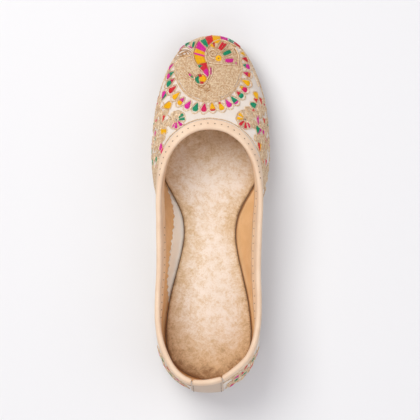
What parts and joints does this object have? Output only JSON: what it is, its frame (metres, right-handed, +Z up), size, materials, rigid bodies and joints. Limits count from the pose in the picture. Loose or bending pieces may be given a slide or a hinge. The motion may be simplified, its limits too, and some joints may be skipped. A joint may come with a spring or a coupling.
{
  "type": "mojari shoe",
  "caption": "Flat embroidered slip-on mojari with a rounded toe, open collar, bound topline, heel tab, velvet insole and leather sole with a low heel.",
  "frame": {"origin": "on the floor, in the middle of the shoe's length and width", "axes": "+Y along the shoe from the heel to the toe, +X to the wearer's right, +Z up from the floor"},
  "size_m": [0.0818, 0.25, 0.0579],
  "materials": {
    "upper_fabric": "matte",
    "binding_leather": "satin",
    "lining_leather": "matte",
    "insole_velvet": "matte",
    "sole_leather": "matte",
    "heel_leather": "matte",
    "zari_cord": "satin",
    "silk_thread": "satin"
  },
  "bodies": {
    "root": {"outsole": "sole_leather", "heel_lift": "heel_leather", "upper": "upper_fabric", "insole": "insole_velvet", "topline_binding": "binding_leather", "heel_tab": "binding_leather"}
  },
  "joints": []
}
